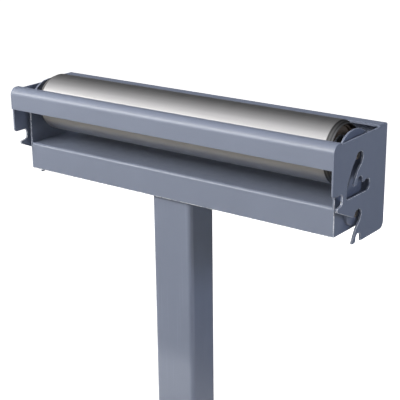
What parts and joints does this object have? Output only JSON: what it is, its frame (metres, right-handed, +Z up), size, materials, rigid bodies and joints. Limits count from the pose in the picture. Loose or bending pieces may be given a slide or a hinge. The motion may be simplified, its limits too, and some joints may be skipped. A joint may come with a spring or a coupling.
{
  "type": "roller stand",
  "caption": "Free-standing work support stand: steel roller on a height-set mast, with a lift-up guard frame, clamp knob and H-shaped base.",
  "frame": {"origin": "on the floor, under the middle of the mast", "axes": "+Z up, +X along the roller to the right as seen from the front, -Y is the front"},
  "size_m": [0.416, 0.446, 0.8023],
  "materials": {
    "powder_coat": "gloss powder coat",
    "roller_steel": "drawn steel tube",
    "zinc": "bright zinc plate",
    "bearing_steel": "ground",
    "black_plastic": "moulded",
    "bearing_seal": "matt",
    "brass": "turned",
    "shoe_rubber": "moulded"
  },
  "bodies": {
    "base": {"base_spreader": "powder_coat", "left_foot_rail": "powder_coat", "right_foot_rail": "powder_coat", "foot_shoes": "shoe_rubber", "base_plate": "powder_coat", "base_bolts": "zinc", "base_washers": "zinc", "base_nuts": "zinc", "column_tube": "powder_coat", "column_gussets": "powder_coat", "column_collar": "black_plastic", "clamp_boss": "powder_coat"},
    "knob": {"clamp_screw": "zinc", "clamp_knob": "black_plastic"},
    "pad": {"clamp_pad": "brass"},
    "head": {"mast_tube": "powder_coat", "mast_foot": "black_plastic", "lower_beam": "powder_coat", "left_cheek": "powder_coat", "right_cheek": "powder_coat", "roller_axle": "zinc", "axle_clips": "zinc", "axle_spacers": "zinc", "bearing_inner_rings": "bearing_steel", "lower_pins": "powder_coat", "lower_pin_nuts": "zinc"},
    "roller": {"roller_tube": "roller_steel", "left_end_cap": "black_plastic", "right_end_cap": "black_plastic", "bearing_outer_rings": "bearing_steel", "bearing_shields": "bearing_seal"},
    "ball_cages": {"bearing_cages": "bearing_steel"},
    "guard_frame": {"front_rail": "powder_coat", "rear_rail": "powder_coat", "left_side_plate": "powder_coat", "right_side_plate": "powder_coat"}
  },
  "joints": [
    {"name": "mast_height", "type": "slide", "parent": "base", "child": "head", "axis": [0, 0, 1], "range_m": [-0.09, 0.2]},
    {"name": "roller_spin", "type": "hinge", "parent": "head", "child": "roller", "pos_m": [0, 0.0044, 0.7723], "axis": [1, 0, 0], "continuous": true},
    {"name": "cage_spin", "type": "hinge", "parent": "head", "child": "ball_cages", "pos_m": [0, 0.0044, 0.7723], "axis": [1, 0, 0], "continuous": true},
    {"name": "frame_lift", "type": "slide", "parent": "head", "child": "guard_frame", "axis": [0, 0.5167, 0.8561], "range_m": [0, 0.033]},
    {"name": "knob_turn", "type": "hinge", "parent": "base", "child": "knob", "pos_m": [0, -0.05, 0.41], "axis": [0, -1, 0], "range_deg": [0, 360]},
    {"name": "pad_travel", "type": "slide", "parent": "base", "child": "pad", "axis": [0, -1, 0], "range_m": [0, 0.0018]}
  ],
  "couplings": [
    {"joint": "cage_spin", "follows": "roller_spin", "ratio": 0.635},
    {"joint": "pad_travel", "follows": "knob_turn", "m_per_rad": 0.00027852}
  ]
}
